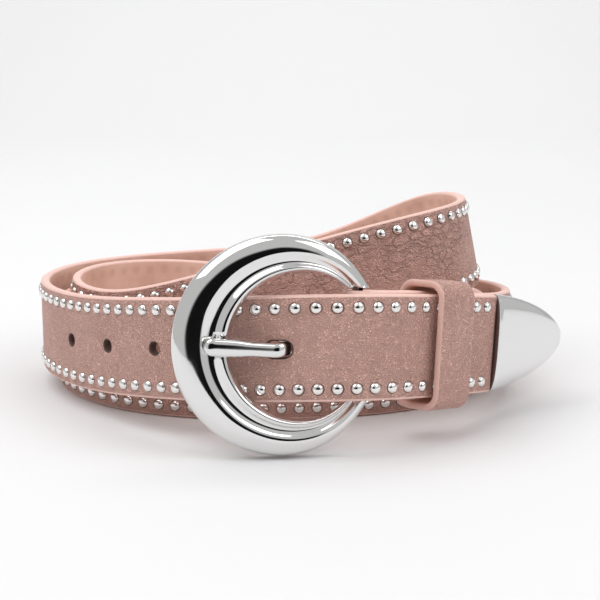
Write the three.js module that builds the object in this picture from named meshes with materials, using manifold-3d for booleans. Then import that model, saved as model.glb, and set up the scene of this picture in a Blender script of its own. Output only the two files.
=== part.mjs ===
// A studded leather belt, buckled and wound into a coil of three turns that stands on its edges.
// Millimetres, +X along the front of the coil, +Y to its back, +Z up from the floor.
import * as THREE from 'three';
import { mergeVertices } from 'three/addons/utils/BufferGeometryUtils.js';
import Module from 'manifold-3d';

const wasm = await Module();
wasm.setup();

// Strap
const strapWidth = 30;
const strapThickness = 3;
const edgeBevel = 0.5;
const skivedThickness = 2;      // leather pared thin at the fold and the flap behind it
const flapLength = 38;
const clearance = 0.3;
const sectionStep = 6.6;

// Coil
const coilWidth = 160;
const coilDepth = 145;

// Studs and holes
const studDiameter = 3.2;
const studHeight = 1;
const studPitch = 5.5;
const studRowInset = 3.7;       // from the strap's edge to the middle of the row
const studPairs = 37;           // pairs modelled as solids, from the tip backwards
const holeDiameter = 3.7;
const holeSpacing = 21.4;
const spareHoles = 4;

// Buckle
const barDiameter = 3.6;
const buckleHeight = 62;
const tongueHeight = 4;
const tongueEndHeight = 5.4;
const tongueDepth = 3;
const tongueHoleFromBar = 22;
const tongueHoleLength = 11;

// Keeper
const keeperWidth = 16;
const keeperThickness = 2;
const keeperPlay = 1.8;         // room above and below the strap
const keeperFromTip = 20.5;      // from the keeper's middle to the cap's rim

// Tip cap
const capLength = 40;
const capWall = 0.9;
const capPocket = 14;
const pocketTaper = 3;          // how much the pocket closes in above and below at its bottom
const capThickness = 5.6;

const layerPitch = strapThickness + studHeight + 1.35 * clearance;

// The belt's route from the heel bar to the cap. across is in half coil widths, back in coil depths,
// inset in strap layers towards the coil's middle, lift is the lower edge's height in strap widths,
// and lean is how far the upper edge tips towards the lining, in degrees.
const route = [
  // fastened layer behind the front, from the heel bar to the right bend
  { across: 0.225, back: 0.011, inset: 0.98, lift: 0.54, lean: 6 },
  { across: 0.315, back: 0.034, inset: 0.93, lift: 0.52, lean: 6 },
  { across: 0.43, back: 0.084, inset: 0.95, lift: 0.48, lean: 5 },
  { across: 0.565, back: 0.148, inset: 1.1, lift: 0.42, lean: 3 },
  { across: 0.74, back: 0.28, inset: 1.1, lift: 0.28, lean: 2 },
  { across: 0.855, back: 0.47, inset: 0, lift: 0.14, lean: 1 },
  { across: 0.91, back: 0.635, inset: 0, lift: 0.07, lean: 0 },
  { across: 0.855, back: 0.785, inset: 0, lift: 0.02, lean: 0 },
  // back of the first turn, on the floor
  { across: 0.695, back: 0.905, inset: 1, lift: 0, lean: 0 },
  { across: 0.425, back: 0.965, inset: 1, lift: 0, lean: 0 },
  { across: 0.105, back: 0.99, inset: 1, lift: 0, lean: 0 },
  { across: -0.275, back: 0.99, inset: 1, lift: 0, lean: 0 },
  { across: -0.64, back: 0.95, inset: 1, lift: 0, lean: 0 },
  { across: -0.935, back: 0.855, inset: 1, lift: 0, lean: 0 },
  { across: -1.11, back: 0.7, inset: 1, lift: 0, lean: 0 },
  { across: -1.07, back: 0.52, inset: 1, lift: 0, lean: 0 },
  // lower front layer, on the floor behind the buckle
  { across: -0.91, back: 0.385, inset: 1, lift: 0, lean: 0 },
  { across: -0.665, back: 0.28, inset: 1, lift: 0, lean: 0 },
  { across: -0.36, back: 0.23, inset: 1, lift: 0, lean: 0 },
  { across: -0.05, back: 0.225, inset: 1, lift: 0, lean: 0 },
  { across: 0.28, back: 0.255, inset: 1, lift: 0, lean: 0 },
  { across: 0.55, back: 0.325, inset: 1, lift: 0, lean: 0 },
  { across: 0.77, back: 0.455, inset: 1, lift: 0, lean: 0 },
  { across: 0.865, back: 0.62, inset: 1, lift: 0, lean: 0 },
  { across: 0.8, back: 0.76, inset: 1, lift: 0, lean: 0 },
  // back of the second turn, rising on the left
  { across: 0.62, back: 0.875, inset: 2, lift: 0, lean: 0 },
  { across: 0.35, back: 0.93, inset: 2, lift: 0, lean: 0 },
  { across: 0.05, back: 0.965, inset: 2, lift: 0.02, lean: 0 },
  { across: -0.315, back: 0.97, inset: 2, lift: 0.1, lean: 0 },
  { across: -0.66, back: 0.94, inset: 2, lift: 0.2, lean: 0 },
  { across: -0.945, back: 0.85, inset: 2, lift: 0.24, lean: 1 },
  { across: -1.11, back: 0.7, inset: 2.1, lift: 0.24, lean: 2 },
  { across: -1.08, back: 0.545, inset: 2.15, lift: 0.18, lean: 2 },
  // straight run across the middle, climbing to the right
  { across: -0.76, back: 0.465, inset: 0, lift: 0.13, lean: 2 },
  { across: -0.46, back: 0.43, inset: 0, lift: 0.32, lean: 3 },
  { across: -0.165, back: 0.405, inset: 0, lift: 0.57, lean: 5 },
  { across: 0.125, back: 0.395, inset: 0, lift: 0.81, lean: 8 },
  { across: 0.4, back: 0.415, inset: 0, lift: 0.99, lean: 11 },
  { across: 0.61, back: 0.47, inset: 0, lift: 1.09, lean: 12 },
  // raised right bend, riding over the two turns below
  { across: 0.735, back: 0.595, inset: 0, lift: 1.11, lean: 12 },
  { across: 0.755, back: 0.755, inset: 0, lift: 1.11, lean: 10 },
  { across: 0.65, back: 0.915, inset: 0, lift: 1.07, lean: 7 },
  // outermost layer, coming down at the back and round the left bend
  { across: 0.405, back: 1.02, inset: 0, lift: 0.69, lean: 4 },
  { across: 0.115, back: 1.05, inset: 0, lift: 0.37, lean: 2 },
  { across: -0.18, back: 1.045, inset: 0, lift: 0.25, lean: 0 },
  { across: -0.495, back: 1.01, inset: 0, lift: 0.23, lean: 0 },
  { across: -0.79, back: 0.94, inset: 0, lift: 0.22, lean: 0 },
  { across: -1.025, back: 0.84, inset: 0, lift: 0.21, lean: 0 },
  { across: -1.125, back: 0.7, inset: 0, lift: 0.2, lean: 0 },
  { across: -1.095, back: 0.535, inset: 0, lift: 0.21, lean: 0 },
  // front layer with the holes, through the buckle to the cap
  { across: -0.95, back: 0.385, inset: 0, lift: 0.22, lean: 1 },
  { across: -0.74, back: 0.245, inset: 0, lift: 0.29, lean: 2 },
  { across: -0.505, back: 0.128, inset: 0, lift: 0.4, lean: 3 },
  { across: -0.275, back: 0.058, inset: 0, lift: 0.46, lean: 5 },
  { across: -0.05, back: 0.011, inset: 0, lift: 0.53, lean: 6 },
  { across: 0.175, back: 0, inset: 0, lift: 0.55, lean: 6 },
  { across: 0.385, back: 0.062, inset: 0, lift: 0.49, lean: 5 },
  { across: 0.57, back: 0.148, inset: 0, lift: 0.41, lean: 3 },
  { across: 0.72, back: 0.241, inset: 0, lift: 0.32, lean: 1 },
  { across: 0.78, back: 0.278, inset: 0, lift: 0.3, lean: 1 },
  { across: 0.845, back: 0.314, inset: 0, lift: 0.27, lean: 1 },
];

// The crescent, as rows round its middle. angle is in degrees from the bar's side, reach is the
// middle line's distance from the centre, width and depth are its section, and out is how far it
// stands in front of the bar. All but the angle are in half buckle heights.
const crescent = [
  { angle: 36, reach: 0.77, width: 0.15, depth: 0.14, out: 0 },
  { angle: 50, reach: 0.79, width: 0.185, depth: 0.155, out: 0.04 },
  { angle: 67, reach: 0.82, width: 0.24, depth: 0.18, out: 0.11 },
  { angle: 90, reach: 0.83, width: 0.335, depth: 0.2, out: 0.17 },
  { angle: 120, reach: 0.832, width: 0.43, depth: 0.215, out: 0.215 },
  { angle: 150, reach: 0.836, width: 0.5, depth: 0.22, out: 0.235 },
  { angle: 180, reach: 0.838, width: 0.525, depth: 0.22, out: 0.24 },
];

const up = new THREE.Vector3(0, 0, 1);

function toSolid(geometry) {
  geometry.deleteAttribute('normal');
  geometry.deleteAttribute('uv');
  const merged = mergeVertices(geometry, 1e-4);
  const mesh = new wasm.Mesh({
    numProp: 3,
    vertProperties: new Float32Array(merged.attributes.position.array),
    triVerts: new Uint32Array(merged.index.array),
  });
  return new wasm.Manifold(mesh);
}

function toGeometry(solid) {
  const mesh = solid.getMesh();
  const geometry = new THREE.BufferGeometry();
  geometry.setAttribute('position', new THREE.BufferAttribute(new Float32Array(mesh.vertProperties), 3));
  geometry.setIndex(new THREE.BufferAttribute(new Uint32Array(mesh.triVerts), 1));
  geometry.computeVertexNormals();
  return geometry;
}

// A closed skin through rings of points that all have the same count, with a fan over each end.
function loft(rings) {
  const count = rings[0].length;
  const points = rings.flat();
  const faces = [];
  for (let i = 0; i + 1 < rings.length; i += 1) {
    for (let j = 0; j < count; j += 1) {
      const a = i * count + j;
      const b = i * count + (j + 1) % count;
      faces.push(a, b, b + count, a, b + count, a + count);
    }
  }
  const last = (rings.length - 1) * count;
  for (let j = 1; j + 1 < count; j += 1) {
    faces.push(0, j + 1, j, last, last + j, last + j + 1);
  }
  let volume = 0;
  for (let k = 0; k < faces.length; k += 3) {
    const [a, b, c] = [points[faces[k]], points[faces[k + 1]], points[faces[k + 2]]];
    volume += a.dot(b.clone().cross(c));
  }
  const geometry = new THREE.BufferGeometry().setFromPoints(points);
  geometry.setIndex(volume < 0 ? faces.reverse() : faces);
  return toSolid(geometry);
}

// A frame on the belt: its middle, the way along it, its upright and the way into the lining.
function makeFrame(middle, along, upright, inward) {
  return { middle, along, upright, inward };
}

function place(frame, along, height, inward) {
  return frame.middle.clone()
    .addScaledVector(frame.along, along)
    .addScaledVector(frame.upright, height)
    .addScaledVector(frame.inward, inward);
}

// Rows as points, with the inset pushed towards the middle of the coil
function routePoint(row) {
  const centre = new THREE.Vector2(0, 0.48 * coilDepth);
  const spot = new THREE.Vector2(row.across * coilWidth / 2, row.back * coilDepth);
  const inwards = centre.sub(spot).normalize();
  spot.addScaledVector(inwards, row.inset * layerPitch);
  return [spot.x, spot.y, (0.5 + row.lift) * strapWidth, row.lean];
}

// The uniform cubic B-spline drawn by the rows, in small steps, as frames with their arc length
function strapPath() {
  const rows = route.map(routePoint);
  const extend = (a, b) => a.map((value, k) => 2 * value - b[k]);
  const control = [extend(rows[0], rows[1]), ...rows, extend(rows.at(-1), rows.at(-2))];
  const stepsPerRow = 16;
  const samples = [];
  for (let i = 0; i + 3 < control.length; i += 1) {
    for (let k = 0; k < stepsPerRow; k += 1) {
      const u = k / stepsPerRow;
      const weights = [(1 - u) ** 3, 3 * u ** 3 - 6 * u ** 2 + 4, -3 * u ** 3 + 3 * u ** 2 + 3 * u + 1, u ** 3];
      samples.push(rows[0].map((_, axis) => weights.reduce((sum, w, m) => sum + w * control[i + m][axis] / 6, 0)));
    }
  }
  const frames = [];
  let length = 0;
  samples.forEach((sample, i) => {
    const before = new THREE.Vector3(...samples[Math.max(i - 1, 0)]);
    const after = new THREE.Vector3(...samples[Math.min(i + 1, samples.length - 1)]);
    const middle = new THREE.Vector3(...sample);
    const along = after.clone().sub(before).normalize();
    const side = up.clone().cross(along).normalize();
    const upright = along.clone().cross(side).negate().normalize();
    if (upright.z < 0) upright.negate();
    const lean = THREE.MathUtils.degToRad(sample[3]);
    const leaned = upright.clone().multiplyScalar(Math.cos(lean)).addScaledVector(side, Math.sin(lean));
    const inward = side.clone().multiplyScalar(Math.cos(lean)).addScaledVector(upright, -Math.sin(lean));
    if (i > 0) length += middle.distanceTo(frames[i - 1].middle);
    frames.push({ ...makeFrame(middle, along, leaned, inward), at: length });
  });
  return frames;
}

const path = strapPath();
const routeLength = path.at(-1).at;

// The frame at a distance along the route, blended between the two samples beside it
function frameAt(distance) {
  const wanted = THREE.MathUtils.clamp(distance, 0, routeLength);
  let high = path.findIndex((frame) => frame.at >= wanted);
  high = Math.max(high, 1);
  const [a, b] = [path[high - 1], path[high]];
  const blend = (wanted - a.at) / (b.at - a.at);
  const mix = (key) => a[key].clone().lerp(b[key], blend);
  return makeFrame(mix('middle'), mix('along').normalize(), mix('upright').normalize(), mix('inward').normalize());
}

const rimAt = routeLength - capPocket;          // where the strap enters the cap

// The bar stands inside the fold, just behind the fastened end
const foldRadius = barDiameter / 2 + clearance + skivedThickness / 2;
const strapStart = frameAt(0);
const bar = {
  ...strapStart,
  middle: place(strapStart, 0, 0, foldRadius),
};

// Where the fastened end passes over the bar
const lastTurn = path.filter((frame) => frame.at > rimAt - coilWidth);
const overBar = lastTurn.reduce((best, frame) => (
  frame.middle.distanceTo(bar.middle) < best.middle.distanceTo(bar.middle) ? frame : best));
const tongueHoleAt = overBar.at - tongueHoleFromBar;

// The buckle stands on the floor, its bar in line with the fold and its centre to the bar's left
const halfBuckle = buckleHeight / 2;
const barReach = 0.56 * halfBuckle;
const buckle = buckleFrame();
// How far the strap's middle runs below the crescent's
const openingDrop = buckle.middle.clone().sub(bar.middle).dot(buckle.upright);

function buckleFrame() {
  const upright = bar.upright.clone();
  const inward = new THREE.Vector3(1, 0, 0).cross(upright).negate().normalize();
  const along = upright.clone().cross(inward).negate().normalize();
  const middle = bar.middle.clone().addScaledVector(along, -barReach);
  const rise = halfBuckle - middle.z / upright.z;
  return makeFrame(middle.addScaledVector(upright, rise), along, upright, inward);
}

// Section of the strap with its edges bevelled, as height and depth pairs from its outer face in
function strapSection(width, thickness) {
  const [h, d, b] = [width / 2, thickness / 2, Math.min(edgeBevel, thickness / 4)];
  return [[h - b, -d], [h, b - d], [h, d - b], [h - b, d], [b - h, d], [-h, d - b], [-h, b - d], [b - h, -d]];
}

function ringAt(frame, width, thickness) {
  return strapSection(width, thickness).map(([height, depth]) => place(frame, 0, height, depth));
}

function smooth(value) {
  return THREE.MathUtils.smoothstep(value, 0, 1);
}

function buildStrap() {
  const rings = [];
  // The flap follows the strap's inner side and closes up to it away from the bar
  const flapSteps = 7;
  const closeUp = 16;
  const farGap = (strapThickness + skivedThickness) / 2 + clearance;
  for (let i = flapSteps; i > 0; i -= 1) {
    const distance = flapLength * i / flapSteps;
    const offset = THREE.MathUtils.lerp(2 * foldRadius, farGap, smooth(distance / closeUp));
    const frame = frameAt(distance);
    rings.push(ringAt(makeFrame(place(frame, 0, 0, offset), frame.along, frame.upright, frame.inward.clone().negate()),
      strapWidth, skivedThickness));
  }
  // Half a turn round the bar
  const foldSteps = 8;
  for (let i = 0; i < foldSteps; i += 1) {
    const turn = Math.PI * (1 - i / foldSteps);
    const inward = bar.inward.clone().multiplyScalar(Math.cos(turn)).addScaledVector(bar.along, Math.sin(turn));
    const middle = bar.middle.clone().addScaledVector(inward, -foldRadius);
    rings.push(ringAt(makeFrame(middle, bar.along, bar.upright, inward), strapWidth, skivedThickness));
  }
  // The long run to the cap, in even steps, growing to its full thickness past the fold
  const fullThicknessAt = 20;
  const steps = Math.round(rimAt / sectionStep);
  for (let i = 0; i <= steps; i += 1) {
    const distance = rimAt * i / steps;
    const thickness = THREE.MathUtils.lerp(skivedThickness, strapThickness, smooth(distance / fullThicknessAt));
    rings.push(ringAt(frameAt(distance), strapWidth, thickness));
  }
  // The narrowed end inside the cap
  const endWidth = strapWidth - 2 * (capWall + clearance);
  const endThickness = strapThickness - 2 * clearance;
  const insideEnd = routeLength - rimAt - clearance * 3;
  const rim = frameAt(rimAt);
  [[clearance, endWidth], [insideEnd, endWidth - 2 * pocketTaper]].forEach(([distance, width]) => {
    rings.push(ringAt(makeFrame(place(rim, distance, 0, 0), rim.along, rim.upright, rim.inward), width, endThickness));
  });
  let strap = loft(rings);
  strap = strap.subtract(tongueSlot()).subtract(tongueHole());
  for (let i = 1; i <= spareHoles; i += 1) {
    strap = strap.subtract(roundHole(frameAt(tongueHoleAt - i * holeSpacing)));
  }
  return strap.add(studField());
}

// A peg through the strap, turned to the frame's depth
function roundHole(frame) {
  const sides = 12;
  const ringOf = (depth) => Array.from({ length: sides }, (_, k) => {
    const turn = 2 * Math.PI * k / sides;
    return place(frame, Math.cos(turn) * holeDiameter / 2, Math.sin(turn) * holeDiameter / 2, depth);
  });
  return loft([ringOf(-strapThickness), ringOf(strapThickness)]);
}

// The hole that holds the tongue is drawn out along the strap, because the tongue slants through it
function tongueHole() {
  const frame = frameAt(tongueHoleAt);
  const half = tongueHeight / 2 + 1.4 * clearance;
  const straight = tongueHoleLength / 2 - half;
  const sides = 12;
  const ringOf = (depth) => Array.from({ length: sides }, (_, k) => {
    const turn = 2 * Math.PI * (k + 0.5) / sides;
    const shift = Math.cos(turn) > 0 ? straight : -straight;
    return place(frame, shift + Math.cos(turn) * half, Math.sin(turn) * half, depth);
  });
  return loft([ringOf(-strapThickness), ringOf(strapThickness)]);
}

// The opening in the fold that lets the tongue's eye turn on the bar
function tongueSlot() {
  const half = tongueHeight / 2 + 2 * clearance;
  const reach = foldRadius + skivedThickness;
  const ahead = 9;
  const ringOf = (height) => [[-reach, -reach], [ahead, -reach], [ahead, reach], [-reach, reach]]
    .map(([along, depth]) => place(buckle, barReach + along, height - openingDrop, depth));
  return loft([ringOf(-half), ringOf(half)]);
}

// One low stud with ten sides, sunk a little into the leather
function stud(frame, height) {
  const sides = 10;
  const face = -strapThickness / 2;
  const rows = [[1.08, 0.3], [0.55, -1]];
  return loft(rows.map(([share, rise]) => Array.from({ length: sides }, (_, k) => {
    const turn = 2 * Math.PI * k / sides;
    const radius = share * studDiameter / 2;
    return place(frame, radius * Math.cos(turn), height + radius * Math.sin(turn), face + rise * studHeight);
  })));
}

function studField() {
  const row = strapWidth / 2 - studRowInset;
  const studs = [];
  for (let i = 0; i < studPairs; i += 1) {
    const frame = frameAt(rimAt - (i + 0.9) * studPitch);
    studs.push(stud(frame, row), stud(frame, -row));
  }
  return wasm.Manifold.union(studs);
}

// A rod along its centres with an oval section, high one way and deep the other
function rod(centres, sides, sizes, highWays, deepWays) {
  return loft(centres.map((centre, i) => Array.from({ length: sides }, (_, k) => {
    const turn = 2 * Math.PI * k / sides;
    return centre.clone().addScaledVector(highWays[i], sizes[i].high / 2 * Math.cos(turn))
      .addScaledVector(deepWays[i], sizes[i].deep / 2 * Math.sin(turn));
  })));
}

// Value of a column at an angle, blended between the rows and mirrored past half a turn
function crescentValue(angle, column) {
  const near = angle > 180 ? 360 - angle : angle;
  const high = Math.max(crescent.findIndex((row) => row.angle >= near - 1e-6), 1);
  const [a, b] = [crescent[high - 1], crescent[high]];
  const blend = THREE.MathUtils.clamp((near - a.angle) / (b.angle - a.angle), 0, 1);
  return THREE.MathUtils.lerp(a[column], b[column], blend) * halfBuckle;
}

const frontBulge = 0.58;        // share of the crescent's depth in front of its middle
const backBulge = 1 - frontBulge;

function buildFrame() {
  const steps = 40;
  const sides = 12;
  const first = crescent[0].angle;
  const rings = [];
  for (let i = 0; i <= steps; i += 1) {
    const angle = THREE.MathUtils.lerp(first, 360 - first, i / steps);
    const turn = THREE.MathUtils.degToRad(angle);
    const at = (column) => crescentValue(angle, column);
    rings.push(Array.from({ length: sides }, (_, k) => {
      const round = 2 * Math.PI * k / sides;
      const bulge = Math.sin(round);
      const reach = at('reach') + Math.cos(round) * at('width') / 2;
      const depth = bulge * at('depth') * (bulge > 0 ? backBulge : frontBulge);
      return place(buckle, Math.cos(turn) * reach, Math.sin(turn) * reach, depth - at('out'));
    }));
  }
  // The crescent's ends are cut flat just past the strap's edges, where the bar runs into them
  const opening = strapWidth / 2 + 3 * clearance;
  const wide = buckleHeight;
  const slot = loft([-opening, opening].map((height) => (
    [[barReach / 2, -wide], [wide, -wide], [wide, wide], [barReach / 2, wide]]
      .map(([along, depth]) => place(buckle, along, height - openingDrop, depth)))));
  const barEnd = opening + barDiameter / 2;
  const centres = [-barEnd, barEnd].map((height) => place(buckle, barReach, height - openingDrop, 0));
  const round = { high: barDiameter, deep: barDiameter };
  const heelBar = rod(centres, 10, [round, round], [buckle.along, buckle.along], [buckle.inward, buckle.inward]);
  return loft(rings).subtract(slot).add(heelBar);
}

// The tongue: an eye round the bar, a shank behind the strap, then out through the hole to the crescent
function buildTongue() {
  const eyeDepth = 1.4;
  const eyeRadius = (barDiameter + eyeDepth) / 2 + clearance;
  const eyeSteps = 14;
  const eye = Array.from({ length: eyeSteps }, (_, i) => {
    const turn = 2 * Math.PI * i / eyeSteps;
    const outwards = buckle.along.clone().multiplyScalar(Math.cos(turn)).addScaledVector(buckle.inward, Math.sin(turn));
    return Array.from({ length: 8 }, (__, k) => {
      const round = 2 * Math.PI * k / 8;
      return place(buckle, barReach, -openingDrop, 0).addScaledVector(outwards, eyeRadius + eyeDepth / 2 * Math.cos(round))
        .addScaledVector(buckle.upright, tongueHeight / 2 * Math.sin(round));
    });
  });
  const strapHere = frameAt(tongueHoleAt);
  const beside = (strapThickness + tongueDepth) / 2 + clearance;
  const restReach = -(crescentValue(180, 'reach') - crescentValue(180, 'width') * 0.1);
  const restDepth = -(crescentValue(180, 'out') + frontBulge * crescentValue(180, 'depth')
    + tongueDepth / 2 + clearance);
  const rest = place(buckle, restReach, -openingDrop / 2, restDepth);
  const leaving = place(strapHere, -2.7, 0, -beside);
  const line = new THREE.CatmullRomCurve3([
    place(buckle, barReach - eyeRadius, -openingDrop, 0),
    place(strapHere, 9.5, 0, beside + 4.5 * clearance),
    place(strapHere, 4.4, 0, beside + clearance),
    leaving,
    ...[0.25, 0.5, 0.75].map((share) => leaving.clone().lerp(rest, share)),
    rest,
  ], false, 'centripetal');
  const steps = 26;
  const centres = line.getSpacedPoints(steps);
  const ways = centres.map((_, i) => line.getTangentAt(i / steps));
  const deepWays = ways.map((way) => way.clone().cross(buckle.upright).normalize());
  const highWays = ways.map((way, i) => way.clone().cross(deepWays[i]).normalize());
  const sizes = centres.map((_, i) => {
    const end = i === steps ? 0.55 : 1;
    return {
      high: end * THREE.MathUtils.lerp(tongueHeight, tongueEndHeight, smooth((i / steps - 0.55) / 0.35)),
      deep: end * tongueDepth,
    };
  });
  return ringLoft(eye).add(rod(centres, 10, sizes, highWays, deepWays));
}

// A closed ring of sections, such as an eye, with no ends
function ringLoft(rings) {
  const half = Math.floor(rings.length / 2);
  const first = loft([...rings.slice(0, half + 1)]);
  const second = loft([...rings.slice(half), rings[0]]);
  return first.add(second);
}

// A leather loop round the strap, rounded at its corners
function buildKeeper() {
  const frame = frameAt(rimAt - keeperFromTip);
  const frontRoom = strapThickness / 2 + studHeight + 2 * clearance;
  const backRoom = layerPitch * 1.15 + strapThickness / 2 + skivedThickness + 6 * clearance;
  const halfHeight = strapWidth / 2 + keeperPlay;
  const outline = (grow, corner) => {
    const shape = [];
    const [low, high] = [-frontRoom - grow, backRoom + grow];
    const height = halfHeight + grow;
    [[high, height, 0], [low, height, 1], [low, -height, 2], [high, -height, 3]].forEach(([depth, tall, quarter]) => {
      for (let k = 0; k <= 4; k += 1) {
        const turn = Math.PI / 2 * (quarter + k / 4);
        const inDepth = depth === high ? high - corner : low + corner;
        const inTall = tall > 0 ? height - corner : corner - height;
        shape.push([inDepth + corner * Math.cos(turn), inTall + corner * Math.sin(turn)]);
      }
    });
    return shape;
  };
  const prism = (shape, half) => loft([-half, half].map((along) => (
    shape.map(([depth, tall]) => place(frame, along, tall, depth)))));
  const outer = prism(outline(keeperThickness, 3.2), keeperWidth / 2);
  return outer.subtract(prism(outline(0, 1.4), keeperWidth));
}

// The metal cap: a lens-shaped shell that closes in a rounded point, open where the strap goes in
function buildCap() {
  const rim = frameAt(rimAt);
  const sides = 20;
  const steps = 12;
  const rings = [];
  for (let i = 0; i <= steps; i += 1) {
    const share = Math.sin(Math.PI / 2 * i / steps);
    const along = 2 * clearance + share * (capLength - 2 * clearance);
    const height = Math.max(strapWidth / 2 * (1 - share ** 1.6) ** 0.54, 0.6);
    const depth = Math.max(capThickness / 2 * (1 - 0.55 * share ** 2) * Math.min(1, height / 3), 0.4);
    rings.push(Array.from({ length: sides }, (_, k) => {
      const turn = 2 * Math.PI * k / sides;
      const tall = Math.sign(Math.sin(turn)) * Math.abs(Math.sin(turn)) ** 0.55 * height;
      return place(rim, along, tall, Math.sign(Math.cos(turn)) * Math.abs(Math.cos(turn)) ** 0.8 * depth);
    }));
  }
  const pocketHeight = strapWidth / 2 - capWall;
  const pocketDepth = strapThickness / 2;
  const pocket = (along, narrow) => [[1, 1], [1, -1], [-1, -1], [-1, 1]].map(([tall, depth]) => (
    place(rim, along, tall * (pocketHeight - narrow), depth * pocketDepth)));
  return loft(rings).subtract(loft([pocket(0, 0), pocket(capPocket, pocketTaper)]));
}

const finishes = {
  strap: { color: 0xbe9a91, roughness: 0.62, metalness: 0 },
  buckle_frame: { color: 0xd9dadc, roughness: 0.08, metalness: 1 },
  tongue: { color: 0xd9dadc, roughness: 0.1, metalness: 1 },
  keeper: { color: 0xc39d93, roughness: 0.6, metalness: 0 },
  tip_cap: { color: 0xd4d5d7, roughness: 0.12, metalness: 1 },
};

const solids = {
  strap: buildStrap(),
  buckle_frame: buildFrame(),
  tongue: buildTongue(),
  keeper: buildKeeper(),
  tip_cap: buildCap(),
};

// The belt stands with its lowest point on the floor and the middle of its box over the origin
const belt = new THREE.Group();
Object.entries(solids).forEach(([name, solid]) => {
  const mesh = new THREE.Mesh(toGeometry(solid), new THREE.MeshStandardMaterial(finishes[name]));
  mesh.name = name;
  belt.add(mesh);
});
const box = new THREE.Box3().setFromObject(belt);
belt.position.set(-(box.min.x + box.max.x) / 2, -(box.min.y + box.max.y) / 2, -box.min.z);
belt.updateMatrixWorld(true);

export default belt;
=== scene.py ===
import math
import bmesh
import bpy
import numpy as np
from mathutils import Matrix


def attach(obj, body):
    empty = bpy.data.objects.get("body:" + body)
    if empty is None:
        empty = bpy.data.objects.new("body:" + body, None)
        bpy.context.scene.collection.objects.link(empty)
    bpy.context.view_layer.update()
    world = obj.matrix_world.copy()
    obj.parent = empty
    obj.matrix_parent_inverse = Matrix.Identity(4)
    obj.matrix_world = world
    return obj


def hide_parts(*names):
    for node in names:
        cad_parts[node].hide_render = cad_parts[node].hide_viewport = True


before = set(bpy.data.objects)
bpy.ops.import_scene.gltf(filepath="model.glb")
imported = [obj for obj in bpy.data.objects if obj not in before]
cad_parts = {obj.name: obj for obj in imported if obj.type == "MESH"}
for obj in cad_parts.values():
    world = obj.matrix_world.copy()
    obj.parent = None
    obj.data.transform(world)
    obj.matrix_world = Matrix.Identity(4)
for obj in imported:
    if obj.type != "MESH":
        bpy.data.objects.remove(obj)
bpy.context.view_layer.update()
print("stage: frame loaded")

# Sizes are in millimetres until a mesh is made, with +X along the front, +Y to the back and +Z up.
mm = 0.001

belt = {
    "halfWidth": 80.0, "depth": 145.0, "middle": 0.48,  # half the coil's width, its depth, its middle's share
    "width": 30.0, "thickness": 3.0, "skived": 2.0, "edge": 0.8,  # the strap's section
    "layer": 4.405, "gap": 0.3,  # one layer's pitch with its studs, and the play between pieces
    "flap": 38.0, "barRadius": 1.8, "pocket": 14.0,  # the fold at one end, the cap's hold at the other
    "holeToBar": 22.0, "lastStretch": 160.0,  # tongue hole before the bar, and where that is looked for
    "step": 2.0, "samples": 16, "shift": (3.27, -74.007, 0.0),
}

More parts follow.
